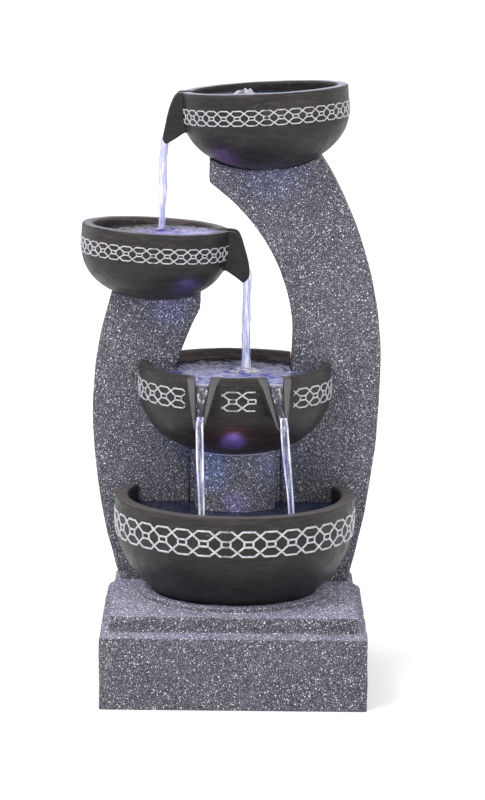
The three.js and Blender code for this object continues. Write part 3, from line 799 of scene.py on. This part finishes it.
MAT = {
    "stone": granite(),
    "bowl": bowl_resin(),
    "silver": silver(),
    "black": moulded("black_plastic", (0.022, 0.022, 0.024), 0.5),
    "rubber": moulded("rubber_black", (0.014, 0.014, 0.014), 0.75, 500, 0.2),
    "cable": moulded("cable_sheath", (0.012, 0.012, 0.013), 0.42, 700, 0.08),
    "hose": moulded("hose_vinyl", (0.33, 0.38, 0.40), 0.28, 300, 0.06),
    "steel": moulded("screw_steel", (0.55, 0.55, 0.56), 0.3, 1500, 0.1, 0.95),
    "ceramic": moulded("shaft_ceramic", (0.8, 0.79, 0.76), 0.2, 1200, 0.04),
    "magnet": moulded("impeller_black", (0.03, 0.03, 0.034), 0.34, 800, 0.08),
    # a lighter grey for the flat front faces of the chute walls
    "edge": moulded("bowl_chute_front", (0.082, 0.08, 0.083), 0.6, 500, 0.3),
    "lens": water("lamp_lens", (0.62, 0.62, 0.95), (0.8, 0.8, 1.0), (0.36, 0.30, 1.0), 2.2),
    # water colours: the violet and blue tints, the pale ripple patches and the emission are painted lamp
    # light and painted reflections
    "dark": water("water_dark", (0.008, 0.010, 0.022), (0.035, 0.038, 0.065), (0.02, 0.03, 0.12), 0.08,
                  shine=0.12),
    "left": water("water_left", (0.05, 0.045, 0.30), (0.36, 0.32, 0.56), (0.16, 0.12, 0.8), 0.22,
                  (-70, 25, 583), 0.11, (0.02, 0.019, 0.024)),
    "middle": water("water_middle", (0.035, 0.035, 0.24), (0.34, 0.34, 0.47), (0.08, 0.08, 0.6), 0.16,
                    (0, -10, 398), 0.17, (0.03, 0.03, 0.05)),
    "foam": water("water_bubbling", (0.16, 0.15, 0.19), (0.62, 0.62, 0.68), (0.1, 0.1, 0.3), 0.05),
    "stream": falling("water_stream", 0.62),
    "sheet": falling("water_sheet", 0.10, 0.74, 1.0, (0.16, 0.26, 0.62)),
    "run": falling("water_run", 0.05, 0.72, 1.1),
    "inside": bowl_resin("bowl_inside", 3.6),
    # pale pinkish bead colour: a painted highlight on the top edge of the pedestal's drum
    "drum_highlight": moulded("drum_highlight_bead", (0.34, 0.29, 0.35), 0.5, 400, 0.1),
}


def dress(o, mat):
    o.data.materials.clear()
    o.data.materials.append(MAT[mat])
    return o


def finish_piece(o, mat, slot, *replaced):
    dress(o, mat)
    smooth_shaded(o)
    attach(o, BODY)
    if replaced:
        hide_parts(*replaced)
    return o


# ---------------------------------------------------------------- the stone and the bowls
def on_ground(co):
    return co.z < 0.0015


def stone(o, replaced, coarse=0.8, keep=None):
    return finish_piece(roughened(o, coarse, 0.25, keep), "stone", "granite_resin", replaced)


def behind_basin(grow):
    """The spaces that the basin leaves for the pillars and the pedestal."""
    return [block(-200, 200, FRONT - GAP, 260, 60, 300), prism("c", pedestal_plan(grow), 60, 300)]


stone(make_plinth(), "plinth", keep=on_ground)
stone(make_pillar("pillar_right_cast", "right", TOP, [hose_port(), nozzle_hole()]), "pillar_right")
stone(make_pillar("pillar_left_cast", "left", LEFT, [cable_port(), left_hole()]), "pillar_left")
stone(make_pedestal(), "pedestal", 0.6)

bowl_top = make_bowl("bowl_top_cast", TOP, [SPOUT_TOP], [nozzle_hole()])
bowl_left = make_bowl("bowl_left_cast", LEFT, [SPOUT_LEFT], [left_hole()])
bowl_middle = make_bowl("bowl_middle_cast", MIDDLE, CHUTES,
                        [middle_hole(), pillar_clear("right"), pillar_clear("left")], ledge=9)
basin = make_bowl("basin_cast", BASIN, [], behind_basin(0.6), voxel=1.8)
for o, n in ((bowl_top, "bowl_top"), (bowl_left, "bowl_left"), (bowl_middle, "bowl_middle"),
             (basin, "basin")):
    finish_piece(roughened(o, 0.35, 0.12), "bowl", "bowl_resin", n)


def lighter_chute_fronts(o, b, s):
    """Gives the flat front faces of a chute's walls a lighter grey colour."""
    me = o.data
    me.materials.append(MAT["edge"])
    n = len(me.polygons)
    cen, nor = np.empty(n * 3, np.float32), np.empty(n * 3, np.float32)
    me.polygons.foreach_get("center", cen)
    me.polygons.foreach_get("normal", nor)
    cen = cen.reshape(-1, 3) / MM - np.array([b["x"], b["y"], b["z"]])
    nor = nor.reshape(-1, 3)
    u, v, w = -cen[:, 1], cen[:, 0], cen[:, 2]
    mid, half, bed = spout_widths(s, w)
    off = np.abs(v - mid)
    on_wall = (off < half + 0.4) & (off > bed - 0.6)
    hit = (u > spout_start(b, s) + 1) & (w < 2) & (w > -66) & on_wall & (nor[:, 1] < -0.4)
    index = np.zeros(n, np.int32)
    me.polygons.foreach_get("material_index", index)
    index[hit] = 1
    me.polygons.foreach_set("material_index", index)


def lined(o, b):
    """Gives the inside of a bowl a lighter colour."""
    me = o.data
    me.materials.append(MAT["inside"])
    inner = len(me.materials) - 1
    turn = Matrix.Rotation(-math.radians(b["tilt"]), 3, "Y")
    for p in me.polygons:
        c = turn @ (p.center / MM - Vector((b["x"], b["y"], b["z"])))
        r = math.hypot(c.x, c.y)
        if c.z < -1 and r < outer_r(b, -c.z) - 4 and p.normal.z > -0.2 and p.material_index == 0:
            if -c.z < b["h"] - b["floor"] + 1 and p.normal.x * c.x + p.normal.y * c.y < 0.1 * r:
                p.material_index = inner


lighter_chute_fronts(bowl_middle, MIDDLE, CHUTES[0])
lighter_chute_fronts(bowl_middle, MIDDLE, CHUTES[1])
lined(bowl_middle, MIDDLE)
lined(bowl_left, LEFT)

top_band = lattice("band_top", TOP, 31, 19, 36, 0.0, 1.8, lambda x, y: x < 0 and abs(y) < 23)
left_band = lattice("band_left", LEFT, 28.2, 18.5, 34, 0.0, 1.8, lambda x, y: x > 0 and abs(y) < 22)
middle_band = lattice("band_middle", MIDDLE, 30.2, 24.5, 32, -0.025, 2.2,
                      lambda x, y: y > FRONT - MIDDLE["y"] - 1 or (y < 0 and (-64 < x < -19 or 27 < x < 74)))
basin_band = lattice("band_basin", BASIN, 34.2, 32.5, 34, -0.068, 2.9,
                     lambda x, y: y > FRONT - BASIN["y"] - 1)
for o in (top_band, left_band, middle_band, basin_band):
    finish_piece(o, "silver", "bowl_resin")


# ---------------------------------------------------------------- water
def pool(name, b, level, mat, hits, chop, holes=()):
    """Rippled water surface with a flat underside, filling the bowl at level mm below the rim. A hit is
    where a stream lands: place from the bowl's axis, height and length of the wave."""
    r = outer_r(b, level, b["t"]) + 0.6
    n, rings = 128, 56
    verts, faces = [], []
    for j in range(rings + 1):
        for i in range(n):
            a, q = 2 * math.pi * i / n, r * j / rings
            x, y = q * math.cos(a), q * math.sin(a)
            z = 0.0
            for hx, hy, amp, wave in hits:
                d = math.hypot(x - hx, y - hy)
                z += amp * math.cos(d / wave * 2 * math.pi) * math.exp(-d / (wave * 2.2))
                mound = amp * 1.1 * math.exp(-((d / (wave * 0.9)) ** 2))
                z += mound * (0.6 + noise.noise(Vector((x, y, 3)) / 5))
            z += chop * noise.noise(Vector((x, y, 0)) / 13) + 0.5 * chop * noise.noise(Vector((x, y, 9)) / 5)
            verts.append((x, y, z))
    top = len(verts)
    verts += [(x, y, -5) for x, y, _ in verts]
    for j in range(rings):
        for i in range(n):
            k = (i + 1) % n
            q = (j * n + i, j * n + k, (j + 1) * n + k, (j + 1) * n + i)
            faces.append(q)
            faces.append(tuple(top + v for v in reversed(q)))
    faces += [(rings * n + i, rings * n + (i + 1) % n, top + rings * n + (i + 1) % n, top + rings * n + i)
              for i in range(n)]
    o = new_object(name, verts, faces)
    moved(o, shift(b["x"], b["y"], b["z"] - level))
    cut(o, *holes)
    return finish_piece(o, mat, "lamp_lens")


def stream(name, points, mat, seed):
    """Falling water: an oval section (half width, half depth) swept down the points (x, y, z, w, d)."""
    path = smooth_line(points, 10)
    n = 20
    verts = []
    for x, y, z, w, d in path:
        for j in range(n):
            a = 2 * math.pi * j / n
            k = 1 + 0.22 * noise.noise(Vector((math.cos(a) * 2, math.sin(a) * 2, z / 14 + seed)))
            verts.append((x + w * k * math.cos(a), y + d * k * math.sin(a), z))
    return finish_piece(new_object(name, verts, tube_faces(len(path), n)), mat, "lamp_lens")


pool("pool_top", TOP, 12.5, "dark", hits=[(-23.5, 12, 1.6, 12)], chop=0.7)
pool("pool_left", LEFT, 7.5, "left", hits=[(8, 10, 2.2, 10)], chop=1.0)
pool("pool_middle", MIDDLE, 13.5, "middle", hits=[(13, 17, 3.0, 13), (-40, -60, 1.0, 12), (48, -60, 1.0, 12)],
     chop=2.0, holes=[pillar_clear("right"), pillar_clear("left")])
pool("pool_basin", BASIN, 22.5, "dark", hits=[(-43, -110, 1.2, 12), (74, -108, 1.2, 12)], chop=0.5,
     holes=behind_basin(0.4))


def bubbles(name, x, y, z, r, rise, seed):
    """Mound of water pushed up by the nozzle."""
    n, rings = 48, 20
    verts, faces = [(x, y, z - 4)], []
    for j in range(rings + 1):
        q = j / rings
        for i in range(n):
            a = 2 * math.pi * i / n
            p = Vector((math.cos(a) * q * 3, math.sin(a) * q * 3, seed))
            lift = rise * (1 - q * q) ** 1.2 * (0.75 + 0.55 * noise.noise(p * 1.3)) - 2.5 * q
            rr = r * q * (1 + 0.12 * noise.noise(p))
            verts.append((x + rr * math.cos(a), y + rr * math.sin(a), z + lift))
    for j in range(rings):
        for i in range(n):
            k = (i + 1) % n
            q = (1 + j * n + i, 1 + j * n + k, 1 + (j + 1) * n + k, 1 + (j + 1) * n + i)
            faces.append(q)
    faces += [(0, 1 + rings * n + (i + 1) % n, 1 + rings * n + i) for i in range(n)]
    return finish_piece(new_object(name, verts, faces), "foam", "lamp_lens")


bubbles("bubble_nozzle", 10, 96, 761, 22, 11, 1)
bubbles("splash_top", 66, 70, 761, 10, 8, 2)
bubbles("splash_left", -100, 84, 583.5, 17, 4, 3)
bubbles("splash_middle", 13, 74, 398, 24, 7, 4)

stream("fall_top", [
    (-93, 84, 713, 5.2, 8), (-97.5, 84, 702, 6.4, 7), (-99, 84, 672, 5.2, 5.5), (-98.5, 84, 640, 5.4, 5),
    (-99.5, 84, 610, 3.8, 4.5), (-100, 84, 578, 4.6, 5)], "stream", 1)
stream("fall_left", [
    (8, 74, 537, 5.2, 7), (13, 74, 527, 6.2, 6), (13, 74, 490, 5.2, 5), (12.5, 74, 450, 5.8, 4.5),
    (13, 74, 420, 5.4, 5), (13, 74, 395, 7.5, 8)], "stream", 2)
CHUTE_FALLS = (
    ("left", 3, [(-45.5, -86, 364, 4, 2.6), (-46.5, -92, 352, 4.8, 2.6), (-46, -95, 336, 5, 2.4),
                 (-45, -96, 300, 4.4, 2.2), (-43, -97, 260, 3.8, 2.2), (-42, -97, 221, 3.8, 2.4)]),
    ("right", 4, [(61, -86, 364, 4, 2.6), (62.5, -92, 352, 5, 2.6), (63.5, -95, 336, 5.2, 2.4),
                  (67, -96, 300, 4.6, 2.2), (71.5, -97, 260, 4, 2.2), (74, -97, 221, 4, 2.4)]),
)
for side, seed, line in CHUTE_FALLS:
    stream("fall_chute_" + side, line, "sheet", seed)
    for tag, way in (("a", -1), ("b", 1)):
        bent = []
        for x, y, z, w, _ in line:
            off = w * (0.82 - 0.3 * abs(noise.noise(Vector((way, z / 30, seed)))))
            bent.append((x + way * off, y - 0.9, z, 1.15, 1.3))
        stream("strand_" + side + "_" + tag, bent, "stream", seed + way)


def chute_water(name, b, s, seed):
    """Water running down the bed of a chute."""
    start = spout_start(b, s)
    line = [(-24, -12.2), (-8, -12.6), (0.5, -15.2), (5.6, -23), (9, -33), (12, -43), (14.6, -54),
            (16.8, -63)]
    verts, n = [], 12
    path = smooth_line(line, 5)
    for u, w in path:
        mid, _, bed = spout_widths(s, w)
        half = bed - 0.25
        for side in (1, 0):
            for i in range(n + 1):
                v = mid + half * (2 * i / n - 1) * (1 if side else -1)
                lift = side * (1.6 + 1.5 * noise.noise(Vector((v / 4, w / 6, seed))))
                verts.append((b["x"] + v, b["y"] - (start + u * s["reach"] + lift + 0.2),
                              b["z"] + w + lift * 0.4))
    faces = tube_faces(len(path), 2 * (n + 1))
    return finish_piece(new_object(name, verts, faces), "run", "lamp_lens")


def drum_highlight_bead():
    """Pale bead, a painted highlight along the top edge of the pedestal's drum, where the third bowl sits on
    the front of it.
    """
    path, verts, n, k = [], [], 8, 60
    for i in range(k + 1):
        a = math.pi * (1.04 + 0.92 * i / k)
        x, y = PED["drum"] * math.cos(a), PED["side"] + (PED["side"] - PED["nose"]) * math.sin(a)
        r = math.hypot(x - MIDDLE["x"], y - MIDDLE["y"])
        t = (1 - (r / MIDDLE["r"]) ** MIDDLE["n"]) ** (1 / MIDDLE["n"])
        path.append((x, y, MIDDLE["z"] - MIDDLE["wall"] - MIDDLE["b"] * t))
    for i, (x, y, z) in enumerate(path):
        p, q = path[max(i - 1, 0)], path[min(i + 1, k)]
        h = math.hypot(q[0] - p[0], q[1] - p[1])
        out = ((q[1] - p[1]) / h, -(q[0] - p[0]) / h)
        for j in range(n):
            a = 2 * math.pi * j / n
            c = 1.0 * math.cos(a) + 0.3
            verts.append((x + out[0] * c, y + out[1] * c, z + 0.9 * math.sin(a) - 0.4))
    return finish_piece(new_object("drum_highlight_ring", verts, tube_faces(k + 1, n)), "drum_highlight", "rubber")


drum_highlight_bead()
chute_water("run_chute_left", MIDDLE, CHUTES[0], 5)
chute_water("run_chute_right", MIDDLE, CHUTES[1], 6)

# ---------------------------------------------------------------- carried-over CAD nodes
DRESS = {
    "base_plate": "black", "pump_body": "black", "pump_volute": "black", "pump_regulator": "black",
    "pump_strainer": "black", "riser_nozzle": "black", "junction_box": "black", "cable_gland": "black",
    "access_door": "black", "drain_plug": "rubber", "supply_hose": "hose", "pump_shaft": "ceramic",
    "pump_impeller": "magnet",
}
for n in nodes:
    if n.startswith("base_screw"):
        DRESS[n] = "steel"
    elif n.startswith("suction_cup"):
        DRESS[n] = "rubber"
    elif n.startswith("cable_") and n != "cable_gland":
        DRESS[n] = "cable"
    elif n.endswith("_lens"):
        DRESS[n] = "lens"
    elif n.startswith("lamp_"):
        DRESS[n] = "black"
for n, mat in DRESS.items():
    dress(nodes[n], mat)
    if n in ("access_door", "junction_box", "pump_body", "base_plate"):
        bev = nodes[n].modifiers.new("bevel", "BEVEL")
        bev.width, bev.segments, bev.limit_method = 0.0008, 2, "ANGLE"
        bev.harden_normals = True


# ---------------------------------------------------------------- camera, lights, stage
def look(eye, ahead, roll, lens):
    """The scene's camera; roll in radians, lens in mm on a 36 mm sensor."""
    f = Vector(ahead).normalized()
    r = f.cross(Vector((0, 0, 1))).normalized()
    u = r.cross(f)
    c, s = math.cos(roll), math.sin(roll)
    x, y = r * c + u * s, u * c - r * s
    cam = bpy.data.cameras.new("camera")
    cam.lens, cam.sensor_width, cam.clip_end = lens, 36, 200
    o = linked("camera", cam)
    o.matrix_world = Matrix(((x.x, y.x, -f.x, eye[0]), (x.y, y.y, -f.y, eye[1]),
                             (x.z, y.z, -f.z, eye[2]), (0, 0, 0, 1)))
    bpy.context.scene.camera = o


look((-0.0057, -4.048, 1.096), (0.0035, 0.9843, -0.1762), 0.011, 141.6)


def aimed(name, light, power, at, to):
    """Puts a light at a place in metres, pointing at another."""
    light.energy = power
    o = linked(name, light)
    o.location = at
    o.rotation_euler = (Vector(to) - Vector(at)).to_track_quat("-Z", "Y").to_euler()


def area(name, at, to, size, power):
    light = bpy.data.lights.new(name, "AREA")
    light.shape, light.size = "DISK", size
    aimed(name, light, power, at, to)


def spot(name, at, to, power, colour, angle, size=0.02):
    """Places in mm, angle in degrees."""
    light = bpy.data.lights.new(name, "SPOT")
    light.color, light.spot_size, light.spot_blend = colour, math.radians(angle), 0.9
    light.shadow_soft_size = size
    aimed(name, light, power, [c * MM for c in at], [c * MM for c in to])


area("key", (-1.8, -2.0, 3.4), (0, 0, 0.4), 1.6, 72)
area("fill", (2.6, -2.6, 1.4), (0, 0, 0.4), 2.2, 12)
VIOLET, BLUE, RED = (0.36, 0.26, 1.0), (0.16, 0.2, 1.0), (1.0, 0.3, 0.45)
spot("glow_right_pillar", (38, 12, 640), (44, 68, 672), 0.08, BLUE, 120)
spot("glow_top_bowl", (-62, 24, 600), (-8, 40, 706), 3.0, (0.5, 0.25, 1.0), 22)
spot("glow_left_pillar", (-88, 25, 470), (-90, 68, 492), 0.06, BLUE, 110)
spot("glow_left_bowl", (-20, 20, 440), (-72, 20, 518), 0.8, VIOLET, 24)
spot("glow_middle_bowl", (-2, -86, 229), (-3, -44, 317), 1.5, (0.25, 0.22, 1.0), 25, 0.003)
spot("halo_middle_bowl", (-2, -80, 229), (-3, -48, 324), 0.14, RED, 62)
spot("fill_pedestal", (4, -70, 240), (2, 40, 262), 0.03, (1, 0.95, 0.92), 80)
spot("glow_pedestal", (-4, -24, 226), (2, 4, 232), 0.035, VIOLET, 100, 0.01)
spot("glow_pedestal_blue", (-56, -50, 256), (-36, 12, 292), 0.20, (0.1, 0.3, 1.0), 80)
spot("glow_pedestal_right", (66, -40, 262), (50, 40, 292), 0.10, (0.1, 0.3, 1.0), 70)

world = bpy.data.worlds.new("world")
bpy.context.scene.world = world
world.use_nodes = True
world.node_tree.nodes["Background"].inputs[0].default_value = (1, 1, 1, 1)
world.node_tree.nodes["Background"].inputs[1].default_value = 1.04
bpy.context.scene.view_settings.view_transform = "Standard"

floor = new_object("floor", [(-40, -40, 0), (40, -40, 0), (40, 40, 0), (-40, 40, 0)], [(0, 1, 2, 3)], 1)
fm, _, fp = material("floor_white", (0.93, 0.93, 0.93), 0.9)
fp.inputs["Emission Color"].default_value = (1, 1, 1, 1)
fp.inputs["Emission Strength"].default_value = 0.18
floor.data.materials.append(fm)
